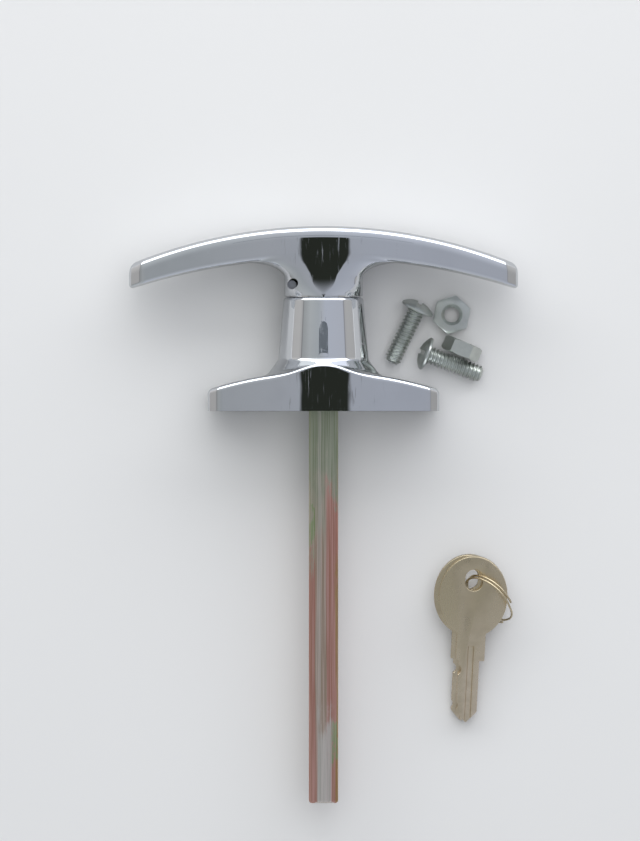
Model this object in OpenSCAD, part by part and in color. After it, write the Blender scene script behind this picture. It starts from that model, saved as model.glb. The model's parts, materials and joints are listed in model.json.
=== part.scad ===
// Garage door T-handle lock with its keys and fixing screws.
// The door face is the plane Y = 0: the handle stands in front of it (towards -Y)
// and the square spindle runs through the door (towards +Y). X follows the bar, Z is up.
// All sizes are millimetres.

/* [Handle bar] */
// Length of the bar from tip to tip
bar_span = 106; // [98:1:114]
// Distance from the door face to the crown of the bar
bar_reach = 50.3; // [49.3:0.1:53]
// Depth of the bar at its middle, front to back
bar_depth = 8.2; // [7.4:0.1:9]
// Width of the bar at its middle
bar_width = 23; // [22.6:0.1:26]
// Width of the bar at its tips, before the corners are rounded
bar_tip_width = 15; // [13:0.5:18]
// Radius of the arched front of the bar
bar_front_r = 140; // [125:1:160]
// Radius of the arched back of the bar
bar_back_r = 165; // [145:1:190]
// Corner radius of the bar's ends, seen from the front
bar_end_r = 4; // [3:0.1:5]
// Rounding of the bar's front edges
bar_front_edge_r = 2.5; // [1.5:0.1:2.8]
// Rounding of the bar's back edges
bar_back_edge_r = 1; // [0.5:0.1:1.4]

/* [Neck and shank] */
// Diameter of the neck under the bar
neck_d = 21.4; // [21:0.1:22.4]
// Reach of the fillet along the back of the bar
neck_fillet_w = 6.9; // [5:0.1:8]
// Height of that fillet along the neck
neck_fillet_h = 4; // [3:0.1:5]
// Open seam between the neck and the collar
seam_gap = 0.35; // [0.2:0.05:0.6]
// Diameter of the shank that turns in the collar
shank_d = 16.9; // [16.5:0.1:17.2]
// Distance from the end of the shank to the door face
shank_end_gap = 0.6; // [0.3:0.1:1.5]

/* [Escutcheon] */
// Length of the escutcheon
base_length = 63; // [60:1:70]
// Width of the escutcheon at its middle
base_width = 27; // [26.5:0.1:30]
// Width of the escutcheon at its ends
base_end_width = 24.2; // [22:0.2:26]
// Height of the escutcheon's ends above the door face
base_end_h = 5.8; // [5:0.1:7]
// Height of the escutcheon's arms where they meet under the collar
base_crown_h = 10.8; // [10:0.1:12]
// Extra height where the collar's flare runs out over the side
base_swell_h = 1.2; // [0.6:0.1:1.6]
// Corner radius of the escutcheon's ends, seen from the front
base_end_r = 3; // [2:0.1:4]
// Rounding of the escutcheon's front edges
base_edge_r = 1.2; // [0.6:0.1:1.6]
// Wall thickness of the cored back
base_wall = 2.2; // [1.8:0.1:2.6]
// Height of the collar's rim above the door face
collar_h = 31.05; // [30:0.05:32]
// Diameter of the collar at its rim
collar_top_d = 21.7; // [21.4:0.1:22.4]
// Diameter of the collar at its foot, before the flare
collar_foot_d = 25.4; // [24.6:0.1:26]
// Radius of the flare between the collar and the escutcheon
collar_flare_r = 2.3; // [1.6:0.1:3]

/* [Fixing screws] */
// Distance between the two fixing holes
fixing_spacing = 45; // [42:0.5:48]
// Diameter of a fixing hole
fixing_hole_d = 5.5; // [5.3:0.1:5.8]
// Metal around a fixing hole
fixing_boss_wall = 2.4; // [1.8:0.1:3]
// Thread diameter of a screw
screw_d = 4.8; // [4.6:0.1:5]
// Length of a screw under its head
screw_length = 16; // [12:1:17]
// Diameter of a screw's head
screw_head_d = 9.2; // [8.5:0.1:9.4]
// Height of a screw's head
screw_head_h = 2.4; // [2:0.1:2.6]
// Width of the slot in a screw's head
screw_slot_w = 1.2; // [0.8:0.1:1.6]
// Width of a nut across its flats
nut_flats = 9.4; // [9:0.1:9.6]
// Height of a nut
nut_h = 4; // [3.2:0.1:4.4]
// Tapped hole of a nut
nut_hole_d = 4.2; // [4:0.1:4.6]
// Diameter of the countersink at both ends of that hole
nut_sink_d = 5.8; // [5:0.1:6.2]

/* [Spindle] */
// Width across the flats of the square spindle
spindle_size = 8; // [7.5:0.1:8.2]
// Length of the spindle behind the door face
spindle_out = 107; // [80:1:140]
// Chamfer at the free end of the spindle
spindle_chamfer = 0.8; // [0.3:0.1:1.5]
// Diameter of the pin that ties the spindle to the shank
spindle_pin_d = 3; // [2:0.1:3.6]

/* [Retaining ring and washers] */
// Depth of the round recess in the back of the escutcheon
recess_depth = 6.5; // [5.6:0.1:7]
// Radius of that recess
recess_r = 11; // [10.8:0.1:11.2]
// Thickness of the thrust washer
washer_t = 1; // [0.8:0.1:1.2]
// Thickness of the wave washer's strip
wave_t = 0.4; // [0.3:0.05:0.5]
// Height of the wave washer's waves
wave_h = 0.6; // [0.4:0.1:0.8]
// Number of waves
wave_count = 3; // [3:1:4]
// Thickness of the retaining ring
circlip_t = 1; // [0.8:0.1:1.2]
// Depth of the retaining ring's groove in the shank
circlip_groove = 0.8; // [0.5:0.1:1]

/* [Lock] */
// Diameter of the lock barrel
barrel_d = 16; // [15.8:0.1:16.2]
// How far the barrel's face lies behind the crown of the bar
barrel_inset = 0.3; // [0.25:0.05:0.8]
// Metal between the floor of the barrel's bore and the seam
barrel_floor = 1.6; // [1.2:0.1:2]
// Diameter of the barrel's nose
barrel_nose_d = 13; // [12.8:0.1:13.4]
// Length of the barrel's nose
barrel_nose_l = 3.4; // [3:0.1:3.6]
// Diameter of the pin that holds the barrel in the neck
barrel_pin_d = 2.4; // [2:0.1:2.5]
// Length of that pin
barrel_pin_l = 9; // [7:0.5:9.5]
// Depth of the groove that the pin catches in the barrel
barrel_pin_catch = 0.6; // [0.4:0.1:0.8]
// Diameter of the plug
plug_d = 11; // [10.8:0.1:11.2]
// Diameter of the plug's front flange
plug_flange_d = 13.2; // [12.6:0.1:13.4]
// Thickness of that flange
plug_flange_t = 1; // [0.8:0.1:1.2]
// Width of the keyway
keyway_w = 2.3; // [2.2:0.05:2.4]
// Height of the keyway
keyway_h = 6.2; // [6:0.1:6.4]
// Thickness of the plug's clip
clip_t = 0.7; // [0.5:0.05:0.8]
// Number of wafers
wafer_count = 5; // [5]
// Distance from one wafer to the next
wafer_pitch = 2.5; // [2.3:0.05:2.6]
// Distance from the plug's face to the first wafer
wafer_first = 2.6; // [2.4:0.1:2.8]
// Thickness of a wafer
wafer_t = 1; // [0.8:0.05:1.1]
// Width of a wafer
wafer_w = 6; // [5.8:0.1:6.2]
// Wire of a wafer's spring
wafer_spring_wire = 0.2; // [0.15:0.05:0.2]
// Curls of a wafer's spring
wafer_spring_curls = 3; // [2:0.5:3]

/* [Locking bolt] */
// Offset of the drive pin from the plug's axis
drive_offset = 1.2; // [1:0.05:1.2]
// Diameter of the drive pin
drive_pin_d = 2; // [1.6:0.1:2.2]
// Turn of the key that shoots the bolt
key_turn = 90; // [90]
// Width of the bolt
bolt_w = 6; // [5:0.1:6.4]
// Thickness of the bolt along the shank
bolt_t = 4.4; // [4:0.1:4.8]
// Metal in front of and behind the bolt's slot
bolt_web = 1.1; // [0.9:0.1:1.4]

/* [Keys] */
// Width of a key's bow
key_bow_w = 18.8; // [17:0.1:20]
// Height of a key's bow
key_bow_h = 22.4; // [20:0.1:23]
// Distance from the top of the bow to the middle of its hole
key_hole_inset = 6.6; // [6:0.1:7.5]
// Width of the hole in the bow
key_hole_w = 4.8; // [4.6:0.1:5.2]
// Height of the hole in the bow
key_hole_h = 5.9; // [5.8:0.1:6.4]
// Thickness of a key
key_t = 2; // [1.8:0.05:2.1]
// Width of a key's stem
key_stem_w = 7.9; // [7:0.1:8.4]
// Distance from the hole to the shoulder of the stem
key_shoulder = 22.4; // [21:0.1:24]
// Width of a key's blade
key_blade_w = 5.75; // [5.4:0.05:6]
// Length of a key's blade
key_blade_l = 17.4; // [16:0.1:18]
// Tilt of the keys, whose bows lie on their ring
key_tilt = 9; // [8.5:0.5:10]
// Middle radius of the split ring
ring_r = 7.8; // [7.6:0.1:8]
// Wire of the split ring
ring_wire = 0.55; // [0.5:0.05:0.6]
// Open gap between the two turns of the split ring
ring_turn_gap = 0.42; // [0.42:0.02:0.5]

/* [Clearances] */
// Radial running clearance of the shank, the plug and the bolt
run_fit = 0.05; // [0.03:0.01:0.08]
// Clearance between pieces that are seated together
seat_fit = 0.05; // [0.02:0.01:0.08]
// Clearance between pieces that pass each other
free_gap = 0.3; // [0.2:0.05:0.4]

/* [Hidden] */
$fn = 64;
chrome = [0.80, 0.82, 0.85];
zinc = [0.75, 0.78, 0.74];
nickel = [0.62, 0.58, 0.50];
brass = [0.78, 0.62, 0.30];
steel = [0.58, 0.60, 0.62];
yellow_zinc = [0.72, 0.60, 0.34];

// Tips of the bar and the escutcheon are rounded in this many steps
end_steps = 6;
// Stations of the bar and the escutcheon between the middle and the rounded end
bar_steps = 14;
base_steps = 14;
// Steps of a rounded edge
edge_steps = 4;
// Steps of the collar's foot round the collar
foot_steps = 48;
// Extra length of a cut that leaves the solid
over = 1;

bar_half = bar_span / 2;
bar_side_r = arc_radius(bar_half, (bar_width - bar_tip_width) / 2);
bar_tip_round = 1.2;
neck_r = neck_d / 2;
seam_y = -(collar_h + seam_gap);
shank_r = shank_d / 2;
shank_bore_r = shank_r + run_fit;
shank_end_y = -shank_end_gap;

base_half = base_length / 2;
base_crown_r = arc_radius(base_half, base_crown_h - base_end_h);
base_side_r = arc_radius(base_half, (base_width - base_end_width) / 2);
base_swell_half = 13;
base_tip_round = 0.8;
collar_rim_round = 0.9;
fixing_x = fixing_spacing / 2;
fixing_boss_r = fixing_hole_d / 2 + fixing_boss_wall;
spotface_d = screw_head_d + 2 * free_gap;
// Least depth of the spotface round a fixing hole
spotface_depth = 0.2;
spotface_y = -(base_front_h(fixing_x + spotface_d / 2) - spotface_depth);

barrel_r = barrel_d / 2;
face_y = -bar_reach + barrel_inset;
barrel_end_y = seam_y - barrel_floor;
nose_r = barrel_nose_d / 2;
nose_end_y = barrel_end_y + barrel_nose_l;
barrel_pin_x = barrel_r - barrel_pin_catch + barrel_pin_d / 2;
// Metal of the barrel behind its pin
barrel_pin_margin = 0.2;
barrel_pin_y = barrel_end_y - barrel_pin_d / 2 - barrel_pin_margin;
// The pin is driven in this far below the outside of the neck
barrel_pin_sink = 1.4;
barrel_pin_top = sqrt(pow(neck_r, 2) - pow(barrel_pin_x, 2)) - barrel_pin_sink;

plug_r = plug_d / 2;
plug_bore_r = plug_r + run_fit;
clip_y = nose_end_y + seat_fit;
clip_groove_depth = 0.8;
clip_groove_r = plug_r - clip_groove_depth;
clip_r = nose_r - free_gap;
clip_opening = 60;
// Metal of the plug behind its clip
clip_land = 0.7;
plug_end_y = clip_y + clip_t + seat_fit + clip_land;
wafer_last = wafer_first + (wafer_count - 1) * wafer_pitch;
// The keyway runs on behind the last wafer
keyway_run = 2;
keyway_l = wafer_last + wafer_t + keyway_run;
wafer_channel_depth = 1.2;
wafer_channel_r = plug_r + wafer_channel_depth;
// Depth of the key's cut at each wafer: a deep cut first, a shallower one last
wafer_cuts = [0.9, 0, 0, 0, 0.45];
wafer_window_h = keyway_h;
wafer_ledge_w = 1.3;
wafer_ledge_x = wafer_w / 2 - wafer_ledge_w;
wafer_ledge_z = 0.4;
spring_floor_z = -2;
spring_x = (wafer_ledge_x + wafer_w / 2) / 2;
spring_turn_r = wafer_t / 2 - wafer_spring_wire / 2 - seat_fit;

bolt_y = plug_end_y + free_gap + bolt_web;
bolt_back_y = bolt_y + bolt_t;
drive_pin_r = drive_pin_d / 2;
drive_start = key_turn / 2;
bolt_travel = 2 * drive_offset * sin(drive_start);
// The drive pin swings on a circle while the bolt moves evenly, so its slot has this much play
drive_play = 0.1;
drive_rest = [-drive_offset * cos(drive_start), -drive_offset * sin(drive_start)];
// The bolt rests this far inside the shank, and stops this far short of the notch's floor
bolt_sink = 0.25;
bolt_tip_r = shank_r - bolt_sink;
// Metal of the bolt below its slot
bolt_foot = 2.2;
bolt_low_z = -(drive_offset + drive_pin_r + bolt_foot);
notch_r = bolt_tip_r + bolt_travel + bolt_sink;
spindle_front_y = bolt_back_y + free_gap + bolt_web;
socket_half = spindle_size / 2 + seat_fit;
spindle_pin_y = (spindle_front_y - recess_depth) / 2;
washer_in_r = shank_r + free_gap / 2;
washer_out_r = recess_r - free_gap;
washer_y = -recess_depth + free_gap / 3;
wave_y = washer_y + washer_t + seat_fit;
circlip_y = wave_y + wave_t + wave_h + seat_fit;
circlip_in_r = shank_r - circlip_groove;
circlip_out_r = washer_out_r - free_gap;
circlip_opening = 50;

// Loose pieces lie on the surface that the lock rests on
floor_z = -base_width / 2;
screw_lean = atan((screw_head_d - screw_d) / 2 / screw_length);
screw_z = floor_z + screw_head_d / 2 * cos(screw_lean) + seat_fit;
screw_1_at = [-25.6, -27.8];
screw_1_heading = 64;
screw_2_at = [-28.4, -15.6];
screw_2_heading = 159;
nut_1_at = [-35.2, -26.4];
nut_1_turn = 18;
nut_2_at = [-37.9, -17.1];
nut_2_heading = 247;

key_at = [-41.2, 46];
key_yaw = -2.8;
key_stack_gap = 0.2;
key_end = key_shoulder + key_blade_l;
key_z = floor_z + key_end * sin(key_tilt) + (key_t + key_stack_gap / 2) * cos(key_tilt);
key_2_shift = [1.3, 0];
key_blade_right = -2.55;
// Distance from the blade's back to its groove
key_groove_in = 1.7;
ring_pitch = ring_wire + ring_turn_gap;
ring_heading = 44;
ring_lean = 54;
ring_start = [1, -0.3];
ring_joggle_from = 300;
ring_joggle_to = 355;
ring_sweep = 645;
ring_sides = 6;
ring_steps_per_turn = 24;
spring_sides = 6;
spring_steps_per_curl = 8;

wafer_nodes = [for (i = [1:wafer_count]) str("wafer_", i)];
spring_nodes = [for (i = [1:wafer_count]) str("wafer_spring_", i)];

// Radius of an arc from half its chord and its rise
function arc_radius(half_chord, rise) = (pow(half_chord, 2) + pow(rise, 2)) / (2 * rise);
// How far an arc has fallen away from its crown at x
function arc_fall(x, r) = r - sqrt(pow(r, 2) - pow(x, 2));
// How far a rounded end has drawn in at x, for an end at half_length
function end_fall(x, half_length, r) =
    abs(x) <= half_length - r ? 0 : arc_fall(min(abs(x) - half_length + r, r), r);

function bar_front_y(x) = -bar_reach + arc_fall(x, bar_front_r) + end_fall(x, bar_half, bar_tip_round);
function bar_back_y(x) =
    -bar_reach + bar_depth + arc_fall(x, bar_back_r) - end_fall(x, bar_half, bar_tip_round);
function bar_half_width(x) =
    bar_width / 2 - arc_fall(x, bar_side_r) - end_fall(x, bar_half, bar_end_r);

function base_swell(x) =
    abs(x) >= base_swell_half ? 0 : base_swell_h * (0.5 + 0.5 * cos(180 * x / base_swell_half));
function base_front_h(x) =
    base_crown_h - arc_fall(x, base_crown_r) + base_swell(x) - end_fall(x, base_half, base_tip_round);
function base_half_width(x) =
    base_width / 2 - arc_fall(x, base_side_r) - end_fall(x, base_half, base_end_r);

// Stations from one tip to the other, closer together round the ends
function half_stations(half_length, end_r, steps) = concat(
    [for (i = [1:steps]) (half_length - end_r) * i / steps],
    [for (i = [1:end_steps]) half_length - end_r + end_r * sin(90 * i / end_steps)]);
function mirrored(list) = concat([for (i = [len(list) - 1:-1:0]) -list[i]], [0], list);

// Points of one rounded corner: middle [y, z], radius, first angle, quarter turn clockwise
function corner(y, z, r, from) =
    [for (i = [0:edge_steps]) let (a = from - 90 * i / edge_steps) [y + r * cos(a), z + r * sin(a)]];
// Outline of a bar's section between its front and back, with its own edge roundings
function section(x, front, back, half_width, front_r, back_r) =
    [for (p = concat(
        corner(front + front_r, front_r - half_width, front_r, 270),
        corner(front + front_r, half_width - front_r, front_r, 180),
        corner(back - back_r, half_width - back_r, back_r, 90),
        corner(back - back_r, back_r - half_width, back_r, 0))) [x, p[0], p[1]]];

// One closed solid through a row of outlines that have the same number of points
module loft(outlines) {
    n = len(outlines[0]);
    last = len(outlines) - 1;
    points = [for (outline = outlines) for (p = outline) p];
    sides = [for (i = [0:last - 1]) for (j = [0:n - 1])
        let (a = i * n + j, b = i * n + (j + 1) % n)
        each [[a, b, b + n], [a, b + n, a + n]]];
    caps = [[for (j = [n - 1:-1:0]) j], [for (j = [0:n - 1]) last * n + j]];
    polyhedron(points, concat(sides, caps));
}

// One closed ring through outlines that run right round
module ring_loft(outlines) {
    n = len(outlines[0]);
    count = len(outlines);
    points = [for (outline = outlines) for (p = outline) p];
    faces = [for (i = [0:count - 1]) for (j = [0:n - 1])
        let (a = i * n + j, b = i * n + (j + 1) % n, next = ((i + 1) % count - i) * n)
        each [[a, b, b + next], [a, b + next, a + next]]];
    polyhedron(points, faces);
}

// Turned about the Y axis from a profile of [radius, y] points
module turned(profile) {
    rotate([-90, 0, 0]) rotate_extrude() polygon([for (p = profile) [p[0], p[1]]]);
}

// Round bar along Y
module rod(r, from, to, x = 0, z = 0) {
    translate([x, from, z]) rotate([-90, 0, 0]) cylinder(r = r, h = to - from);
}

// Ring along Y
module sleeve(in_r, out_r, from, to) {
    difference() {
        rod(out_r, from, to);
        rod(in_r, from - over, to + over);
    }
}

// Square-edged block between two corners
module block(low, high) {
    translate(low) cube(high - low);
}

// Outline in the X-Z plane, extruded along Y
module along_y(from, to) {
    translate([0, to, 0]) rotate([90, 0, 0]) linear_extrude(height = to - from) children();
}

// Points of a concave or convex arc in the [radius, y] plane
function profile_arc(r_mid, y_mid, r, from, to, steps = 10) =
    [for (i = [0:steps]) let (a = from + (to - from) * i / steps) [r_mid + r * cos(a), y_mid + r * sin(a)]];

module bar_solid() {
    loft([for (x = mirrored(half_stations(bar_half, bar_end_r, bar_steps)))
        section(x, bar_front_y(x), bar_back_y(x), bar_half_width(x), bar_front_edge_r, bar_back_edge_r)]);
}

// Neck with the fillet that spreads under the bar, cut off flush with the bar's sides
module neck_solid() {
    flare_r = neck_r + neck_fillet_w;
    flare_y = bar_back_y(flare_r);
    fillet_steps = 10;
    inside_y = -bar_reach + bar_depth / 2;
    side_inset = 0.25;
    plan_steps = 12;
    side = [for (i = [-plan_steps:plan_steps]) flare_r * i / plan_steps];
    intersection() {
        turned(concat(
            [[0, seam_y], [neck_r, seam_y]],
            [for (i = [0:fillet_steps]) let (a = 180 + 90 * i / fillet_steps)
                [flare_r + neck_fillet_w * cos(a), flare_y + neck_fillet_h * (1 + sin(a))]],
            [[flare_r, inside_y], [0, inside_y]]));
        along_y(inside_y - over, seam_y + over) polygon(concat(
            [for (x = side) [x, bar_half_width(x) - side_inset]],
            [for (x = side) [-x, side_inset - bar_half_width(x)]]));
    }
}

module handle() {
    color(chrome) difference() {
        union() {
            bar_solid();
            neck_solid();
            rod(shank_r, seam_y - over, shank_end_y);
        }
        // Stepped bore for the lock barrel and its nose
        rod(barrel_r + seat_fit, -bar_reach - over, barrel_end_y + seat_fit);
        rod(nose_r + seat_fit, barrel_end_y - over, plug_end_y + free_gap);
        // Way through for the drive pin
        rod(drive_offset + drive_pin_r + free_gap, plug_end_y, bolt_y + over);
        // Cross slot in which the locking bolt slides
        block([-bolt_w / 2 - run_fit, bolt_y - run_fit, bolt_low_z - free_gap],
              [bolt_w / 2 + run_fit, bolt_back_y + run_fit, shank_r + over]);
        // Drilling for the pin that holds the barrel
        translate([barrel_pin_x, barrel_pin_y, barrel_pin_top - barrel_pin_l - seat_fit])
            cylinder(d = barrel_pin_d + 2 * seat_fit, h = neck_d);
        // Square socket for the spindle, and its cross drilling
        block([-socket_half, spindle_front_y - seat_fit, -socket_half], [socket_half, over, socket_half]);
        translate([-shank_d, spindle_pin_y, 0])
            rotate([0, 90, 0]) cylinder(d = spindle_pin_d + 2 * seat_fit, h = 2 * shank_d);
        // Groove for the retaining ring
        sleeve(circlip_in_r - seat_fit, shank_d, circlip_y - seat_fit, circlip_y + circlip_t + seat_fit);
    }
}

// The back is cut off flat at the door face
module base_solid() {
    difference() {
        loft([for (x = mirrored(half_stations(base_half, base_end_r, base_steps)))
            section(x, -base_front_h(x), over, base_half_width(x), base_edge_r, over / 2)]);
        block([-base_length, 0, -base_width], [base_length, 2 * over, base_width]);
    }
}

// Radius of the conical collar at y
function collar_r(y) =
    (collar_top_d + (collar_foot_d - collar_top_d) * (y + collar_h) / (collar_h - base_crown_h)) / 2;

// Section of the flare at an angle round the collar: it lands on the front of the arms
function foot_section(angle) =
    let (land_r = collar_foot_d / 2 + collar_flare_r,
         land_y = -base_front_h(land_r * cos(angle)),
         arc = profile_arc(land_r, land_y - collar_flare_r, collar_flare_r, 90, 180, 7),
         inner_r = shank_bore_r + free_gap,
         inside_y = -base_end_h)
    [for (p = concat([[inner_r, land_y - collar_flare_r], [inner_r, inside_y], [land_r, inside_y]], arc))
        [p[0] * cos(angle), p[1], p[0] * sin(angle)]];

// Conical collar with a rounded rim and a flared foot that ends at the escutcheon's sides
module collar_solid() {
    top_r = collar_top_d / 2;
    inside_y = -base_end_h;
    side_inset = base_edge_r / 2;
    plan_steps = 12;
    reach = collar_foot_d / 2 + collar_flare_r + over;
    side = [for (i = [-plan_steps:plan_steps]) reach * i / plan_steps];
    intersection() {
        union() {
            turned(concat(
                [[0, -collar_h]],
                profile_arc(top_r - collar_rim_round, collar_rim_round - collar_h,
                            collar_rim_round, -90, 0, 4),
                [[collar_r(inside_y), inside_y], [0, inside_y]]));
            ring_loft([for (i = [0:foot_steps - 1]) foot_section(360 * i / foot_steps)]);
        }
        along_y(-collar_h - over, inside_y + over) polygon(concat(
            [for (x = side) [x, base_half_width(x) - side_inset]],
            [for (x = side) [-x, side_inset - base_half_width(x)]]));
    }
}

// Hollow of one arm, open at the back, round the boss of its fixing hole
module arm_core() {
    from = recess_r + base_wall;
    to = base_half - base_wall;
    depth = base_end_h - base_wall;
    side = [for (i = [0:8]) from + (to - from) * i / 8];
    along_y(-depth, over) difference() {
        polygon(concat(
            [for (x = side) [x, base_half_width(x) - base_wall]],
            [for (i = [len(side) - 1:-1:0]) [side[i], base_wall - base_half_width(side[i])]]));
        translate([fixing_x, 0]) circle(r = fixing_boss_r);
    }
}

module escutcheon() {
    color(chrome) difference() {
        union() {
            base_solid();
            collar_solid();
        }
        rod(shank_bore_r, -collar_h - over, over);
        rod(recess_r, -recess_depth, over);
        for (side = [0, 1]) mirror([side, 0, 0]) {
            arm_core();
            rod(fixing_hole_d / 2, -base_width, over, x = fixing_x);
            rod(spotface_d / 2, -base_width, spotface_y, x = fixing_x);
        }
        // Notches that catch the locking bolt at every quarter turn
        intersection() {
            rod(notch_r, -collar_h - over, over);
            for (turn = [0:90:270]) rotate([0, turn, 0])
                block([-bolt_w / 2 - free_gap, bolt_y - free_gap, 0],
                      [bolt_w / 2 + free_gap, bolt_back_y + free_gap, recess_r]);
        }
    }
}

module lock_barrel() {
    face_chamfer = 0.3;
    color(chrome) difference() {
        turned([[0, face_y], [barrel_r - face_chamfer, face_y], [barrel_r, face_y + face_chamfer],
                [barrel_r, barrel_end_y], [nose_r, barrel_end_y], [nose_r, nose_end_y], [0, nose_end_y]]);
        rod(plug_bore_r, face_y - over, nose_end_y + over);
        // Seat of the plug's flange
        rod(plug_flange_d / 2 + run_fit, face_y - over, face_y + plug_flange_t + run_fit);
        // Channels above and below the plug, into which the wafers spring
        intersection() {
            rod(wafer_channel_r, face_y, barrel_end_y);
            block([-wafer_w / 2 - seat_fit, face_y + wafer_first - wafer_t, -barrel_d],
                  [wafer_w / 2 + seat_fit, face_y + wafer_last + wafer_t, barrel_d]);
        }
        // Groove that the barrel pin catches
        translate([barrel_pin_x, barrel_pin_y, -barrel_d])
            cylinder(d = barrel_pin_d + 2 * seat_fit, h = 2 * barrel_d);
    }
}

module barrel_pin() {
    color(steel) translate([barrel_pin_x, barrel_pin_y, barrel_pin_top - barrel_pin_l])
        cylinder(d = barrel_pin_d, h = barrel_pin_l);
}

// Outline of a wafer, without its window: it is cut away over its spring
module wafer_outline(grow) {
    intersection() {
        circle(r = plug_r - run_fit + (grow > 0 ? over : 0));
        difference() {
            square([wafer_w + 2 * grow, plug_d * 2], center = true);
            translate([wafer_ledge_x + grow, wafer_ledge_z - plug_d * 2]) square(plug_d * 2);
        }
    }
}

function wafer_y(i) = face_y + wafer_first + (i - 1) * wafer_pitch;

module lock_plug() {
    spring_room = wafer_ledge_z - spring_floor_z;
    color(nickel) difference() {
        union() {
            rod(plug_r, face_y, plug_end_y);
            rod(plug_flange_d / 2, face_y, face_y + plug_flange_t);
            rod(drive_pin_r, plug_end_y - over, bolt_back_y - free_gap, x = drive_rest[0], z = drive_rest[1]);
        }
        block([-keyway_w / 2, face_y - over, -keyway_h / 2], [keyway_w / 2, face_y + keyway_l, keyway_h / 2]);
        for (i = [1:wafer_count]) {
            slot_y = wafer_y(i) - wafer_t / 2 - seat_fit;
            along_y(slot_y, slot_y + wafer_t + 2 * seat_fit) {
                wafer_outline(seat_fit);
                translate([wafer_ledge_x - seat_fit, spring_floor_z])
                    square([wafer_w / 2 - wafer_ledge_x + 2 * seat_fit, spring_room + seat_fit]);
            }
        }
        sleeve(clip_groove_r - seat_fit, plug_d, clip_y - seat_fit, clip_y + clip_t + seat_fit);
    }
}

module wafer(i) {
    window_z = wafer_cuts[i - 1] / 2;
    color(brass) along_y(wafer_y(i) - wafer_t / 2, wafer_y(i) + wafer_t / 2) difference() {
        wafer_outline(0);
        translate([0, window_z]) square([keyway_w + 2 * seat_fit, wafer_window_h], center = true);
    }
}

// Outline of a wire's section at an angle round its coil's axis
function wire_outline(coil_r, wire, sides, angle, rise) =
    [for (k = [0:sides - 1])
        let (b = 360 * k / sides, q = coil_r + wire / 2 * cos(b))
        [q * cos(angle), q * sin(angle), rise + wire / 2 * sin(b)]];

// Least gap between points of a coil that lie a turn apart
function coil_gap(rises, per_turn, wire) =
    min([for (i = [0:len(rises) - 1 - per_turn]) rises[i + per_turn] - rises[i]]) - wire;

spring_height = wafer_ledge_z - spring_floor_z - 2 * seat_fit;
spring_steps = wafer_spring_curls * spring_steps_per_curl;
function spring_rise(i) =
    wafer_spring_wire / 2 + (spring_height - wafer_spring_wire) * i / spring_steps;

module wafer_spring(i) {
    color(steel) translate([spring_x, wafer_y(i), spring_floor_z + seat_fit])
        loft([for (k = [0:spring_steps])
            wire_outline(spring_turn_r, wafer_spring_wire, spring_sides,
                         360 * k / spring_steps_per_curl, spring_rise(k))]);
}

module plug_clip() {
    color(steel) rotate([0, clip_opening / 2, 0]) translate([0, clip_y, 0]) rotate([-90, 0, 0])
        rotate_extrude(angle = 360 - clip_opening)
            translate([clip_groove_r, 0]) square([clip_r - clip_groove_r, clip_t]);
}

// Yoke that the drive pin pushes along Z: its tip is rounded to the shank
module locking_bolt() {
    slot_half = drive_offset + drive_pin_r + free_gap;
    color(steel) difference() {
        intersection() {
            block([-bolt_w / 2, bolt_y, bolt_low_z], [bolt_w / 2, bolt_back_y, shank_r]);
            rod(bolt_tip_r, bolt_y - over, bolt_back_y + over);
        }
        block([-slot_half, bolt_y - over, drive_rest[1] - drive_pin_r - drive_play],
              [slot_half, bolt_back_y + over, drive_rest[1] + drive_pin_r + drive_play]);
    }
}

module spindle() {
    half = spindle_size / 2;
    small = half - spindle_chamfer;
    color(yellow_zinc) difference() {
        intersection() {
            block([-half, spindle_front_y, -half], [half, spindle_out, half]);
            // The free end is turned to a slight cone
            turned([[0, spindle_front_y - over], [spindle_size, spindle_front_y - over],
                    [spindle_size, spindle_out - spindle_size + small], [small, spindle_out],
                    [0, spindle_out]]);
        }
        translate([-spindle_size, spindle_pin_y, 0])
            rotate([0, 90, 0]) cylinder(d = spindle_pin_d + 2 * seat_fit, h = 2 * spindle_size);
    }
}

module spindle_pin() {
    pin_half = sqrt(pow(shank_r, 2) - pow(spindle_pin_d / 2, 2)) - run_fit;
    color(steel) translate([-pin_half, spindle_pin_y, 0])
        rotate([0, 90, 0]) cylinder(d = spindle_pin_d, h = 2 * pin_half);
}

module thrust_washer() {
    color(steel) sleeve(washer_in_r, washer_out_r, washer_y, washer_y + washer_t);
}

// Flat strip bent into even waves round the shank
module wave_washer() {
    steps = wave_count * 12;
    color(steel) ring_loft([for (i = [0:steps - 1])
        let (a = 360 * i / steps, low = wave_y + wave_h * (0.5 - 0.5 * cos(wave_count * a)))
        [for (p = [[washer_in_r, low], [washer_in_r, low + wave_t],
                   [washer_out_r, low + wave_t], [washer_out_r, low]])
            [p[0] * cos(a), p[1], p[0] * sin(a)]]]);
}

module retaining_ring() {
    color(steel) rotate([0, circlip_opening / 2 + 90, 0]) translate([0, circlip_y, 0]) rotate([-90, 0, 0])
        rotate_extrude(angle = 360 - circlip_opening)
            translate([circlip_in_r, 0]) square([circlip_out_r - circlip_in_r, circlip_t]);
}

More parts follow.
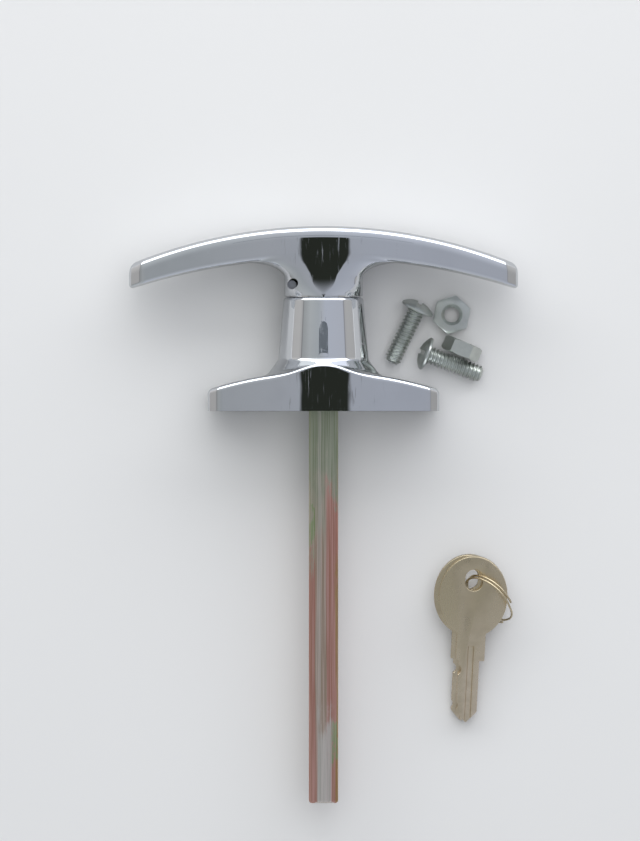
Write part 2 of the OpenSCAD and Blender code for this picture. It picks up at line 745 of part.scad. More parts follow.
// Outline of a key with the middle of its hole at the origin and its tip towards +Y
module key_outline() {
    bow_y = key_bow_h / 2 - key_hole_inset;
    left = key_blade_right + key_blade_w;
    point_l = 3.2;
    cut_r = 1.5;
    polygon([for (a = [0:6:354]) [key_bow_w / 2 * cos(a), bow_y + key_bow_h / 2 * sin(a)]]);
    translate([-key_stem_w / 2, bow_y]) square([key_stem_w, key_shoulder - bow_y]);
    difference() {
        polygon([[key_blade_right, bow_y], [left, bow_y], [left, key_end - point_l],
                 [left - key_blade_w / 2, key_end], [key_blade_right, key_end - point_l]]);
        for (i = [1:wafer_count]) if (wafer_cuts[i - 1] > 0)
            translate([left + cut_r - wafer_cuts[i - 1], key_shoulder + wafer_first + (i - 1) * wafer_pitch])
                circle(r = cut_r);
    }
}

module key_blank() {
    groove_w = 1.5;
    groove_depth = 0.5;
    groove_x = key_blade_right + key_groove_in;
    groove_run = 4;
    color(nickel) difference() {
        linear_extrude(height = key_t) key_outline();
        // Oval hole made of two drillings and the web between them
        for (end = [-1, 1]) translate([0, end * (key_hole_h - key_hole_w) / 2, -over])
            cylinder(d = key_hole_w, h = key_t + 2 * over);
        block([-key_hole_w / 2, -(key_hole_h - key_hole_w) / 2, -over],
              [key_hole_w / 2, (key_hole_h - key_hole_w) / 2, key_t + over]);
        // Groove milled along the blade
        block([groove_x, key_shoulder - groove_run, key_t - groove_depth],
              [groove_x + groove_w, key_end + over, key_t + over]);
    }
}

// The keys' own frame: hole of the upper key at the origin, middle of the pair at Z = 0
module in_key_frame() {
    translate([key_at[0], key_at[1], key_z]) rotate([-key_tilt, 0, 0]) rotate([0, 0, key_yaw]) children();
}

module key_1() {
    in_key_frame() translate([0, 0, key_stack_gap / 2]) key_blank();
}

module key_2() {
    in_key_frame() translate([key_2_shift[0], key_2_shift[1], -key_t - key_stack_gap / 2]) key_blank();
}

// Two flat turns of wire with a short step from one to the other
function ring_rise(angle) =
    ring_pitch * (0.5 - 0.5 * cos(180 * max(0, min(1, (angle - ring_joggle_from)
        / (ring_joggle_to - ring_joggle_from)))));
ring_rises = [for (a = [0:360 / ring_steps_per_turn:ring_sweep]) ring_rise(a)];

module key_ring() {
    color(nickel) in_key_frame() translate([ring_start[0], ring_start[1], 0])
        rotate([0, 0, ring_heading]) rotate([0, ring_lean, 0])
            translate([0, ring_r, -ring_pitch / 2]) rotate([0, 0, 150])
                loft([for (a = [0:360 / ring_steps_per_turn:ring_sweep])
                    wire_outline(ring_r, ring_wire, ring_sides, a, ring_rise(a))]);
}

// Slotted round-head screw along Z, with the underside of its head at the origin
module screw_blank() {
    head_r = screw_head_d / 2;
    rim_h = screw_head_h * 0.25;
    crown_h = screw_head_h - rim_h;
    crown_r = arc_radius(head_r, crown_h);
    tip = 0.6;
    slot_depth = screw_head_h * 0.45;
    color(zinc) difference() {
        rotate_extrude() polygon(concat(
            [[0, screw_length], [screw_d / 2 - tip, screw_length], [screw_d / 2, screw_length - tip],
             [screw_d / 2, 0], [head_r, 0], [head_r, -rim_h]],
            [for (i = [7:-1:1]) [head_r * i / 8, -screw_head_h + arc_fall(head_r * i / 8, crown_r)]],
            [[0, -screw_head_h]]));
        block([-head_r, -screw_slot_w / 2, -screw_head_h - over],
              [head_r, screw_slot_w / 2, slot_depth - screw_head_h]);
    }
}

module lying_screw(at, heading) {
    translate([at[0], at[1], screw_z]) rotate([0, 0, heading]) rotate([0, 90 + screw_lean, 0])
        screw_blank();
}

module screw_1() {
    lying_screw(screw_1_at, screw_1_heading);
}

module screw_2() {
    lying_screw(screw_2_at, screw_2_heading);
}

// Hexagon nut standing on Z = 0, with both faces chamfered at the corners
module nut_blank() {
    corner_r = nut_flats / 2 / cos(30);
    bevel = 0.4;
    sink_depth = (nut_sink_d - nut_hole_d) / 2;
    color(zinc) difference() {
        intersection() {
            cylinder(r = corner_r, h = nut_h, $fn = 6);
            rotate_extrude() polygon([[0, 0], [corner_r - 2 * bevel, 0], [corner_r + 2 * bevel, 2 * bevel],
                [corner_r + 2 * bevel, nut_h - 2 * bevel], [corner_r - 2 * bevel, nut_h], [0, nut_h]]);
        }
        translate([0, 0, -over]) cylinder(d = nut_hole_d, h = nut_h + 2 * over);
        for (end = [0, 1]) translate([0, 0, end * nut_h]) mirror([0, 0, end]) translate([0, 0, -over])
            cylinder(d1 = nut_sink_d + 2 * over, d2 = nut_hole_d - sink_depth, h = over + 1.5 * sink_depth);
    }
}

module nut_1() {
    translate([nut_1_at[0], nut_1_at[1], floor_z]) rotate([0, 0, nut_1_turn]) nut_blank();
}

// Stands on one of its flats
module nut_2() {
    translate([nut_2_at[0], nut_2_at[1], floor_z + nut_flats / 2])
        rotate([0, 0, nut_2_heading]) rotate([0, 90, 0]) translate([0, 0, -nut_h / 2])
            rotate([0, 0, 30]) nut_blank();
}

echo(wafer_spring_gap = coil_gap([for (k = [0:spring_steps]) spring_rise(k)],
                                 spring_steps_per_curl, wafer_spring_wire));
echo(split_ring_gap = coil_gap(ring_rises, ring_steps_per_turn, ring_wire));

escutcheon();
handle();
lock_barrel();
barrel_pin();
spindle();
spindle_pin();
thrust_washer();
wave_washer();
retaining_ring();
lock_plug();
plug_clip();
locking_bolt();
for (i = [1:wafer_count]) wafer(i);
for (i = [1:wafer_count]) wafer_spring(i);
key_1();
key_2();
key_ring();
screw_1();
screw_2();
nut_1();
nut_2();
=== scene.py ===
# Looks of a garage door T-handle lock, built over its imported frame.
# Shapes are worked out in millimetres and become metres when a piece is finished.
# The bar lies along X, the spindle along +Y and the lock rests on the floor at its lowest Z.

import json
import math
from types import SimpleNamespace

import bmesh
import bpy
import numpy as np
from bpy.props import FloatProperty, FloatVectorProperty, PointerProperty
from mathutils import Matrix, Vector


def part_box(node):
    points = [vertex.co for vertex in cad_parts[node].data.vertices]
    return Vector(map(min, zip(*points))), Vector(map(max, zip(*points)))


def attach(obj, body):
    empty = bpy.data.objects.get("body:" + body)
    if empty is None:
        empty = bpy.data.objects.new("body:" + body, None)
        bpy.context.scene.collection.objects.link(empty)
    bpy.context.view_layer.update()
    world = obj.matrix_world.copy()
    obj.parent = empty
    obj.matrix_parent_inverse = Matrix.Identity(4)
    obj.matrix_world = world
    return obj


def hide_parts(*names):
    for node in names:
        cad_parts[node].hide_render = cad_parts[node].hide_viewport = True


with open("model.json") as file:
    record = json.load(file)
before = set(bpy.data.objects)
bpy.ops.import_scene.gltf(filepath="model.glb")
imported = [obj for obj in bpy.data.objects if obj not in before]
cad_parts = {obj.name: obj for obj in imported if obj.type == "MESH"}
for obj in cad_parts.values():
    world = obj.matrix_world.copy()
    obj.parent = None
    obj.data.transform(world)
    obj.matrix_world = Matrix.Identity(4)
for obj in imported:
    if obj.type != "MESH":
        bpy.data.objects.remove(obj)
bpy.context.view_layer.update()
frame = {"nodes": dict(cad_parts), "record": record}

bl_info = {
    "name": "Garage door T-handle lock",
    "version": (1, 0, 0),
    "blender": (4, 5, 0),
    "location": "3D View > Sidebar > T-handle lock",
    "description": "Builds a chrome T-handle lock with its spindle, keys and fixing screws",
    "category": "Add Mesh",
}

MM = 0.001
FLOOR_Z = min(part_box(node)[0].z for node in frame["nodes"]) / MM
END_SLANT = math.radians(34)
SMOOTH_ANGLE = math.radians(32)

# Places of the barrel pin's drilling and its mouth, then Y and radius of the spindle pin's drilling
PIN_DRILLING = (8.6, -34.4)
PIN_MOUTH = (8.22, -34.78)
CROSS_Y, CROSS_R = -13.7, 1.55


# Settings

def length(name, description, mm):
    return FloatProperty(name=name, description=description, default=mm * MM, min=0, precision=5,
                         unit="LENGTH")


def colour(name, description, rgb):
    return FloatVectorProperty(name=name, description=description, default=rgb, min=0, max=1, size=3,
                               subtype="COLOR")


class HandleSizes(bpy.types.PropertyGroup):
    bar_span: length("Bar span", "Length of the bar from tip to tip", 106)
    bar_reach: length("Bar reach", "Distance from the door face to the crown of the bar", 50.3)
    bar_depth: length("Bar depth", "Depth of the bar at its middle, front to back", 8.5)
    bar_width: length("Bar width", "Width of the bar at its middle", 23)
    bar_tip_width: length("Bar tip width", "Width of the bar at its tips", 15)
    front_r: length("Front arch", "Radius of the arched front", 140)
    back_r: length("Back arch", "Radius of the arched back", 170)
    end_cut: length("End facets", "Length of the slanted facets at the bar's ends", 3.4)
    front_edge: length("Front edges", "Rounding of the front edges", 1.3)
    shoulder: length("Shoulder", "How far behind the front the sides start to lean in", 3)
    shoulder_drop: length("Shoulder drop", "How much they have leaned in at the front", 0.55)
    back_edge: length("Back edges", "Rounding of the back edges", 1)
    neck_r: length("Neck radius", "Radius of the neck under the bar", 10.7)
    fillet_w: length("Fillet reach", "Reach of the neck's fillet along the bar", 10)
    fillet_h: length("Fillet height", "Height of that fillet along the neck", 4.3)
    seam_y: length("Seam", "Distance of the neck's end from the door face", 31.4)
    shank_r: length("Shank radius", "Radius of the shank that turns in the collar", 8.45)
    mesh_step: length("Mesh step", "Spacing of the casting's mesh", 0.42)


class EscutcheonSizes(bpy.types.PropertyGroup):
    plate_length: length("Length", "Length of the escutcheon", 63)
    plate_width: length("Width", "Width at the middle", 27)
    end_width: length("End width", "Width at the ends", 24.2)
    end_h: length("End height", "Height of the ends above the door face", 5.8)
    crown_h: length("Crown height", "Height of the arms where they meet under the collar", 10.8)
    swell_h: length("Swell", "Extra height under the collar", 1.2)
    swell_half: length("Swell reach", "Half length of that swell", 13)
    end_cut: length("End facets", "Length of the slanted facets at the ends", 2.9)
    edge: length("Edges", "Rounding of the front edges", 1.2)
    collar_h: length("Collar height", "Height of the collar's rim above the door face", 31.05)
    collar_top_r: length("Rim radius", "Radius of the collar at its rim", 10.85)
    collar_foot_r: length("Foot radius", "Radius of the collar at its foot, where the flare starts", 12.35)
    collar_foot_h: length("Foot height", "Height at which that radius is measured", 14)
    rim: length("Rim", "Rounding of the collar's rim", 0.9)
    flare_r: length("Flare radius", "Radius of the foot's flare where it reaches the side", 13.6)
    flare_h: length("Flare height", "Height of the flare at that radius", 12.3)
    fixing_x: length("Fixing hole", "Distance of a fixing hole from the middle", 22.5)
    fixing_r: length("Fixing radius", "Radius of a fixing hole", 2.75)
    mesh_step: length("Mesh step", "Spacing of the casting's mesh", 0.42)


class LooseSizes(bpy.types.PropertyGroup):
    ring_r: length("Ring radius", "Middle radius of the split ring", 7.8)
    ring_wire: length("Ring wire", "Wire of the split ring", 0.55)
    ring_pitch: length("Ring pitch", "Distance between the ring's two turns", 0.97)
    screw_r: length("Screw radius", "Outer radius of the screws' thread", 2.4)
    screw_length: length("Screw length", "Length of a screw under its head", 16)
    head_r: length("Head radius", "Radius of a screw's head", 4.6)
    head_h: length("Head height", "Height of a screw's head", 2.4)
    slot_w: length("Slot width", "Width of the slot in a screw's head", 1.2)
    pitch: length("Thread pitch", "Pitch of the screws and nuts", 1.058)
    nut_flats: length("Nut flats", "Width of a nut across its flats", 9.4)
    nut_h: length("Nut height", "Height of a nut", 4)
    nut_sink_r: length("Nut countersink", "Radius of the countersink in a nut", 2.9)


class Finishes(bpy.types.PropertyGroup):
    chrome: colour("Chrome", "Polished chrome plate", (0.80, 0.82, 0.85))
    nickel: colour("Nickel", "Nickel plate of the plug", (0.70, 0.67, 0.60))
    key_nickel: colour("Key nickel", "Nickel plate of the keys and their ring", (0.69, 0.59, 0.41))
    zinc: colour("Bright zinc", "Plate of the screws and nuts", (0.66, 0.69, 0.65))
    zinc_olive: colour("Olive", "Film of the spindle's plate near the door", (0.35, 0.40, 0.26))
    zinc_bare: colour("Bare", "Plainest parts of the spindle's plate", (0.59, 0.52, 0.40))
    zinc_rose: colour("Rose", "Reddish columns of the spindle's plate", (0.69, 0.26, 0.21))
    zinc_gold: colour("Gold", "Golden edge of the spindle's plate", (0.54, 0.30, 0.09))
    zinc_green: colour("Green", "Greenish spots of the spindle's plate", (0.34, 0.46, 0.19))
    zinc_pearl: colour("Pearl", "Pale free end of the spindle's plate", (0.88, 0.82, 0.76))
    steel: colour("Steel", "Plain spring steel", (0.46, 0.47, 0.49))
    brass: colour("Brass", "Wafers", (0.78, 0.58, 0.28))


class StageSettings(bpy.types.PropertyGroup):
    camera_height: length("Camera height", "Height of the camera over the middle of the lock", 2500)
    frame_height: length("Frame height", "Height of the picture in the plane of the lock", 229.8)
    view_x: length("View X", "X of the picture's middle", 0.96)
    view_y: length("View Y", "Y of the picture's middle", 2.6)
    floor_size: length("Floor", "Size of the floor", 8000)
    floor: colour("Floor colour", "Pale floor", (0.66, 0.66, 0.655))
    floor_card: colour("Floor card", "Grey card that only the metal mirrors", (0.46, 0.46, 0.455))
    collar_card: colour("Collar card", "Dark strip that only the collar mirrors", (0.18, 0.2, 0.22))
    edge_line: colour("Edge lines", "Dark lines at the sides of the surroundings", (0.1, 0.1, 0.11))
    camera_patch: colour("Camera patch", "Dark patch that stands for a mirrored camera", (0.022, 0.025, 0.02))


class LockSettings(bpy.types.PropertyGroup):
    handle: PointerProperty(type=HandleSizes)
    escutcheon: PointerProperty(type=EscutcheonSizes)
    loose: PointerProperty(type=LooseSizes)
    finishes: PointerProperty(type=Finishes)
    stage: PointerProperty(type=StageSettings)


def millimetres(group):
    """The lengths of a property group, in millimetres."""
    names = [p.identifier for p in group.bl_rna.properties if p.type == "FLOAT" and not p.is_array]
    return SimpleNamespace(**{name: getattr(group, name) / MM for name in names})


# Materials

class Value:
    """One output of a material's nodes; arithmetic on it adds Math nodes."""

    def __init__(self, tree, socket=None):
        self.tree = tree
        self.socket = socket

    def node(self, kind, settings=None, inputs=None, output=0):
        """Adds any node: its settings first, then the values or links of its sockets."""
        made = self.tree.nodes.new(kind)
        for name, setting in (settings or {}).items():
            if name == "stops":
                ramp = made.color_ramp.elements
                while len(ramp) < len(setting):
                    ramp.new(1)
                for element, (place, rgb) in zip(ramp, setting):
                    element.position = place
                    element.color = (*rgb[:3], 1)
            else:
                setattr(made, name, setting)
        for name, value in (inputs or {}).items():
            if isinstance(value, Value):
                self.tree.links.new(value.socket, made.inputs[name])
            else:
                made.inputs[name].default_value = value
        return Value(self.tree, made.outputs[output])

    def math(self, operation, *values):
        return self.node("ShaderNodeMath", {"operation": operation}, dict(enumerate(values)))

    def __add__(self, other):
        return self.math("ADD", self, other)

    def __sub__(self, other):
        return self.math("SUBTRACT", self, other)

    def __mul__(self, other):
        return self.math("MULTIPLY", self, other)

    def __rsub__(self, other):
        return self.math("SUBTRACT", other, self)

    __radd__ = __add__
    __rmul__ = __mul__

    def squeeze(self, low, high):
        """0 below low, 1 above high, smooth between."""
        return self.node("ShaderNodeMapRange", {"interpolation_type": "SMOOTHSTEP"},
                         {"Value": self, "From Min": low, "From Max": high})

    def noise(self, place, scale, detail=2, rough=0.5):
        return self.node("ShaderNodeTexNoise", None,
                         {"Vector": place, "Scale": scale, "Detail": detail, "Roughness": rough})

    def axes(self, place):
        """X, Y and Z of a place."""
        parts = self.node("ShaderNodeSeparateXYZ", None, {"Vector": place}).socket.node
        return [Value(self.tree, output) for output in parts.outputs]

    def stretched(self, place, scale):
        return self.node("ShaderNodeMapping", None, {"Vector": place, "Scale": scale})

    def blend(self, factor, first, second):
        """Mixes two colours."""
        first, second = (c if isinstance(c, Value) else (*c, 1) for c in (first, second))
        return self.node("ShaderNodeMix", {"data_type": "RGBA"}, {0: factor, 6: first, 7: second}, output=2)

    def bump(self, height, strength, depth_mm):
        return self.node("ShaderNodeBump", None,
                         {"Height": height, "Strength": strength, "Distance": depth_mm * MM})


def metal(name, look):
    """A metal whose look(shade, place) gives its Principled inputs."""
    material = bpy.data.materials.get(name)
    if material:
        return material
    material = bpy.data.materials.new(name)
    material.use_nodes = True
    material.node_tree.nodes.clear()
    shade = Value(material.node_tree)
    place = shade.node("ShaderNodeTexCoord", output=3)
    shader = shade.node("ShaderNodeBsdfPrincipled", None, {"Metallic": 1.0, **look(shade, place)})
    out = material.node_tree.nodes.new("ShaderNodeOutputMaterial")
    material.node_tree.links.new(shader.socket, out.inputs["Surface"])
    return material


def tinted(rgb, factor):
    return tuple(min(1, c * factor) for c in rgb)


def chrome_look(finishes):
    """Polished plate over a casting: faint waviness, hairlines, handling haze and painted shade in the barrel
    pin's drilling.
    """
    rgb = tuple(finishes.chrome)

    def look(shade, place):
        haze = shade.noise(place, 70, 3).squeeze(0.45, 0.75)
        hairs = shade.noise(shade.stretched(place, (1, 0.08, 1)), 1800, 2).squeeze(0.56, 0.76)
        wave = shade.noise(place, 160, 1)
        # Painted shade: the barrel pin's drilling is painted near black for the shade inside the hole
        squash, middle_z = 0.3, 5.5
        mouths = []
        for x, y in (PIN_DRILLING, PIN_MOUTH):
            shift = (-x * MM, -y * MM, -squash * middle_z * MM)
            middle = shade.node("ShaderNodeMapping", None,
                                {"Vector": place, "Location": shift, "Scale": (1, 1, squash)})
            mouths.append(shade.node("ShaderNodeVectorMath", {"operation": "LENGTH"}, {0: middle}, output=1))
        hole_shade = 1 - shade.math("MINIMUM", *mouths).squeeze(1.32 * MM, 1.36 * MM)
        return {
            # Near black in the pin's drilling is painted shade
            "Base Color": shade.blend(hole_shade, shade.blend(haze, rgb, tinted(rgb, 0.95)), (0.02, 0.02, 0.02)),
            "Roughness": 0.004 + 0.012 * haze + 0.16 * hairs,
            "Normal": shade.bump(wave, 0.02, 0.4),
        }
    return look


def turned_look(rgb, rough):
    """Metal with the fine rings of a lathe round the Y axis."""
    def look(shade, place):
        across, _, up = shade.axes(place)
        radius = shade.math("SQRT", across * across + up * up)
        ring_place = shade.node("ShaderNodeCombineXYZ", None, {"X": radius})
        rings = shade.noise(ring_place, 9000, 2)
        dull = shade.noise(place, 240, 3).squeeze(0.35, 0.7)
        return {
            "Base Color": shade.blend(dull, rgb, tinted(rgb, 0.82)),
            "Roughness": rough + 0.12 * dull + 0.08 * rings,
            "Normal": shade.bump(rings, 0.12, 0.03),
        }
    return look


def drawn_zinc_look(finishes):
    """Iridescent plate on a drawn bar: olive near the door, then rose columns, and pearl at the free end."""
    def look(shade, place):
        # Millimetres: to the side, behind the door's face and up
        side, behind, up = (value * (1 / MM) for value in shade.axes(place))
        fine = shade.noise(shade.stretched(place, (1, 0.012, 1)), 2600, 3, 0.6)
        broad = shade.noise(shade.stretched(place, (1, 0.03, 1)), 700, 2)
        patch = shade.noise(shade.stretched(place, (1, 0.3, 1)), 420, 4, 0.65)
        # Columns are counted across the top and round both upper edges
        across = side + (0.9 * up - 3.6) * shade.math("SIGN", side) + 1.8 * broad + 1.8 * fine - 1.8
        along = behind + 34 * patch + 16 * fine - 25

        def spot(x, y, wide, deep):
            dx, dy = (across - x) * (1 / wide), (along - y) * (1 / deep)
            return 1 - shade.math("SQRT", dx * dx + dy * dy).squeeze(0.6, 1.1)
        columns = shade.math("MAXIMUM", (1 - across.squeeze(-1, -0.2)) * along.squeeze(18, 26),
                             across.squeeze(1.7, 2.4) * along.squeeze(33, 44))
        rose = shade.math("MAXIMUM", columns, 0.32 * along.squeeze(28, 40))
        gold = (1 - across.squeeze(-3.3, -2.7)) * along.squeeze(38, 50)
        green = shade.math("MAXIMUM", spot(2.9, 31, 0.9, 4.5), spot(-2.9, 91, 0.9, 4))
        pearl = along.squeeze(80, 92) * (1 - shade.math("ABSOLUTE", across + 0.2).squeeze(1.6, 2.5))
        base = shade.blend(along.squeeze(10, 32), tuple(finishes.zinc_olive), tuple(finishes.zinc_bare))
        films = ((rose, finishes.zinc_rose), (gold, finishes.zinc_gold), (green, finishes.zinc_green),
                 (pearl, finishes.zinc_pearl))
        for mask, film in films:
            base = shade.blend(0.9 * mask, base, tuple(film))
        bare = across.squeeze(0.5, 0.9) * (1 - across.squeeze(1.5, 2))
        base = shade.blend(0.35 * bare, base, tuple(finishes.zinc_pearl))
        lines = shade.noise(shade.stretched(place, (1, 0.008, 1)), 4200, 2, 0.6)
        streaks = shade.blend(lines.squeeze(0.36, 0.64), tinted(finishes.zinc_olive, 0.55),
                              tuple(finishes.zinc_pearl))
        return {
            "Base Color": shade.blend(0.28, base, streaks),
            "Roughness": 0.25 + 0.2 * fine,
            "Normal": shade.bump(lines, 0.3, 0.05),
        }
    return look


def plated_look(rgb, rough, grain, depth):
    """Plain plated or stamped metal with a soft grain and duller patches."""
    def look(shade, place):
        dull = shade.noise(place, 190, 3).squeeze(0.35, 0.72)
        fine = shade.noise(place, grain, 3, 0.6)
        return {
            "Base Color": shade.blend(dull, tinted(rgb, 1.08), tinted(rgb, 0.84)),
            "Roughness": rough + 0.16 * dull + 0.1 * fine,
            "Normal": shade.bump(fine, 0.15, depth),
        }
    return look


def rolled_key_look(rgb):
    """Nickel-plated key stock: brushed along the blade, a little worn."""
    def look(shade, place):
        brushed = shade.noise(shade.stretched(place, (1, 0.05, 1)), 3200, 2)
        worn = shade.noise(place, 160, 4, 0.6).squeeze(0.42, 0.72)
        # The blade is brighter and bluer than the bow
        toward_blade = shade.axes(place)[1].squeeze(50 * MM, 80 * MM)
        base = shade.blend(toward_blade, rgb, (rgb[0] * 1.2, rgb[1] * 1.2, rgb[2] * 1.32))
        return {
            "Base Color": shade.blend(0.6 * worn, base, tinted(rgb, 0.8)),
            "Roughness": 0.22 + 0.14 * worn + 0.1 * brushed,
            "Normal": shade.bump(brushed, 0.14, 0.03),
        }
    return look


def material_for(slot, finishes):
    """The finished material of one of the record's slots."""
    looks = {
        "chrome_casting": chrome_look(finishes),
        "chrome_barrel": turned_look(tinted(finishes.chrome, 0.95), 0.1),
        "nickel_plug": turned_look(tuple(finishes.nickel), 0.16),
        "yellow_zinc": drawn_zinc_look(finishes),
        "spring_steel": plated_look(tuple(finishes.steel), 0.3, 2200, 0.03),
        "wafer_brass": plated_look(tuple(finishes.brass), 0.28, 2600, 0.03),
        "nickel_key": rolled_key_look(tuple(finishes.key_nickel)),
        "nickel_ring": plated_look(tuple(finishes.key_nickel), 0.2, 2400, 0.02),
        "bright_zinc": plated_look(tuple(finishes.zinc), 0.26, 2000, 0.03),
    }
    return metal(f"{slot}_finish", looks[slot])


# Modelling

def rounded_meet(a, b, r):
    """Two walls of a solid meet in an edge rounded to radius r; both are below zero inside."""
    return np.minimum(np.maximum(a, b), -r) + np.hypot(np.maximum(a + r, 0), np.maximum(b + r, 0))


def filleted_join(a, b, r):
    """Two solids are joined with a fillet of radius r."""
    return np.maximum(np.minimum(a, b), r) - np.hypot(np.maximum(r - a, 0), np.maximum(r - b, 0))


def arc_fall(x, r):
    """How far an arc has fallen away from its crown at x."""
    return r - np.sqrt(np.maximum(r * r - x * x, 0))


def arc_radius(half_chord, rise):
    return (half_chord ** 2 + rise ** 2) / (2 * rise)


def faceted_plan(x, z, half, half_width, cut):
    """Outline of a casting seen from the front: long sides, slanted facets at the ends, square tips."""
    facet_edge, tip_edge = 0.4, 0.7
    facet = np.abs(z) - half_width(half - cut) + math.tan(END_SLANT) * (np.abs(x) - half + cut)
    sides = rounded_meet(np.abs(z) - half_width(x), facet * math.cos(END_SLANT), facet_edge)
    return rounded_meet(sides, np.abs(x) - half, tip_edge)


def settle(bm, form, passes=12):
    """Evens out the mesh and lays every vertex on the surface where form is zero."""
    reach, least_slope, longest_pull = 0.01, 0.05, 1.5
    sides = reach * np.eye(3)
    for step in range(passes):
        for _ in range(2 * min(step, 1)):
            bmesh.ops.smooth_vert(bm, verts=bm.verts, factor=0.5, use_axis_x=True, use_axis_y=True,
                                  use_axis_z=True)
        points = np.array([v.co for v in bm.verts])
        for _ in range(6):
            value = form(points)
            slope = np.stack([(form(points + d) - form(points - d)) / (2 * reach) for d in sides], axis=1)
            pull = value / np.maximum((slope ** 2).sum(axis=1), least_slope)
            points -= np.clip(pull, -longest_pull, longest_pull)[:, None] * slope
        for vert, point in zip(bm.verts, points):
            vert.co = point


def block(low, high):
    bm = bmesh.new()
    bmesh.ops.create_cube(bm, size=1)
    low, high = Vector(low), Vector(high)
    bmesh.ops.scale(bm, vec=high - low, verts=bm.verts)
    bmesh.ops.translate(bm, vec=(low + high) / 2, verts=bm.verts)
    return bm


def slice_along(bm, axis, cuts):
    """Cuts every edge that runs along an axis."""
    edges = [e for e in bm.edges if abs((e.verts[1].co - e.verts[0].co)[axis]) > 0.9 * e.calc_length()]
    bmesh.ops.subdivide_edges(bm, edges=edges, cuts=cuts, use_grid_fill=True)


def sliced_block(half, sizes, step):
    """A finely cut box: X at full size, Y from 0 at the front to 1 at the back, Z from -1 to 1."""
    bm = block((-half, 0, -1), (half, 1, 1))
    for axis, size in enumerate(sizes):
        slice_along(bm, axis, max(2, round(size / step)))
    return bm


def draw_out(bm, side, half_x, half_z, to_y, step):
    """Pulls the patch of a sliced block's front or back round the axis out to Y = to_y and cuts its walls."""
    middles = {f: f.calc_center_median() for f in bm.faces if f.normal.y * side > 0.8}
    patch = [f for f, middle in middles.items() if abs(middle.x) < half_x and abs(middle.z) < half_z]
    moved = bmesh.ops.extrude_face_region(bm, geom=patch)["geom"]
    bmesh.ops.delete(bm, geom=patch, context="FACES")
    tip = {g for g in moved if isinstance(g, bmesh.types.BMVert)}
    start = sum(v.co.y for v in tip) / len(tip)
    for vert in tip:
        vert.co.y = to_y
    walls = [e for v in tip for e in v.link_edges if e.other_vert(v) not in tip]
    bmesh.ops.subdivide_edges(bm, edges=walls, cuts=round(abs(to_y - start) / step), use_grid_fill=True)


def cut_away(bm, point, normal):
    """Cuts off what lies beyond a plane and closes the cut."""
    everything = [*bm.verts, *bm.edges, *bm.faces]
    cut = bmesh.ops.bisect_plane(bm, geom=everything, dist=1e-5, plane_co=point, plane_no=normal,
                                 clear_outer=True)["geom_cut"]
    bmesh.ops.contextual_create(bm, geom=[g for g in cut if isinstance(g, bmesh.types.BMEdge)])
    bmesh.ops.recalc_face_normals(bm, faces=bm.faces)


def turned(profile, steps=96):
    """A solid turned about Y from [radius, y] points that start and end on the axis."""
    bm = bmesh.new()
    verts = [bm.verts.new((r, y, 0)) for r, y in profile]
    edges = [bm.edges.new(pair) for pair in zip(verts, verts[1:])]
    bmesh.ops.spin(bm, geom=verts + edges, cent=(0, 0, 0), axis=(0, 1, 0), angle=math.tau, steps=steps,
                   use_merge=True)
    bmesh.ops.remove_doubles(bm, verts=bm.verts, dist=1e-4)
    bmesh.ops.recalc_face_normals(bm, faces=bm.faces)
    return bm


def rod(r, start, end, steps=96):
    return turned([(0, start), (r, start), (r, end), (0, end)], steps)


def placed(bm, matrix):
    bmesh.ops.transform(bm, matrix=matrix, verts=bm.verts)
    return bm


def drilling(r, start, end, about, place, steps=48):
    """A rod given a quarter turn: about Z it comes to lie along X, about X it comes to stand along Z."""
    return placed(rod(r, start, end, steps), Matrix.Translation(place) @ Matrix.Rotation(math.pi / 2, 4, about))


def loose_object(bm):
    mesh = bpy.data.meshes.new("blank")
    bm.to_mesh(mesh)
    bm.free()
    blank = bpy.data.objects.new("blank", mesh)
    bpy.context.scene.collection.objects.link(blank)
    return blank


def carve(bm, operation, *tools):
    """Joins tools to a solid, or takes them away from it. All of them are used up."""
    solid = loose_object(bm)
    others = [loose_object(tool) for tool in tools]
    for other in others:
        step = solid.modifiers.new("carve", "BOOLEAN")
        step.operation = operation
        step.solver = "EXACT"
        step.object = other
    depsgraph = bpy.context.evaluated_depsgraph_get()
    mesh = bpy.data.meshes.new_from_object(solid.evaluated_get(depsgraph))
    made = bmesh.new()
    made.from_mesh(mesh)
    bmesh.ops.remove_doubles(made, verts=made.verts, dist=2e-3)
    bpy.data.meshes.remove(mesh)
    for blank in (solid, *others):
        mesh = blank.data
        bpy.data.objects.remove(blank)
        bpy.data.meshes.remove(mesh)
    return made


def node_copy(node):
    """A welded copy of a CAD node's mesh, in millimetres, with its flat faces whole."""
    bm = bmesh.new()
    bm.from_mesh(frame["nodes"][node].data)
    bmesh.ops.scale(bm, vec=(1 / MM,) * 3, verts=bm.verts)
    bmesh.ops.remove_doubles(bm, verts=bm.verts, dist=1e-3)
    bmesh.ops.dissolve_limit(bm, angle_limit=math.radians(0.5), verts=bm.verts, edges=bm.edges)
    return bm


def soften(bm, offset, angle, segments):
    """Rounds the edges that are sharper than an angle."""
    sharp = [e for e in bm.edges if e.is_manifold and e.calc_face_angle() > math.radians(angle)]
    bmesh.ops.bevel(bm, geom=sharp, offset=offset, offset_type="OFFSET", segments=segments, profile=0.5,
                    affect="EDGES", material=-1, clamp_overlap=True)
    return bm


def body_of(node):
    return next(b for b, nodes in frame["record"]["behaviour"]["bodies"].items() if node in nodes)


def slot_of(node):
    return next(s["material_slot"] for s in frame["record"]["subparts"] if s["node"] == node)


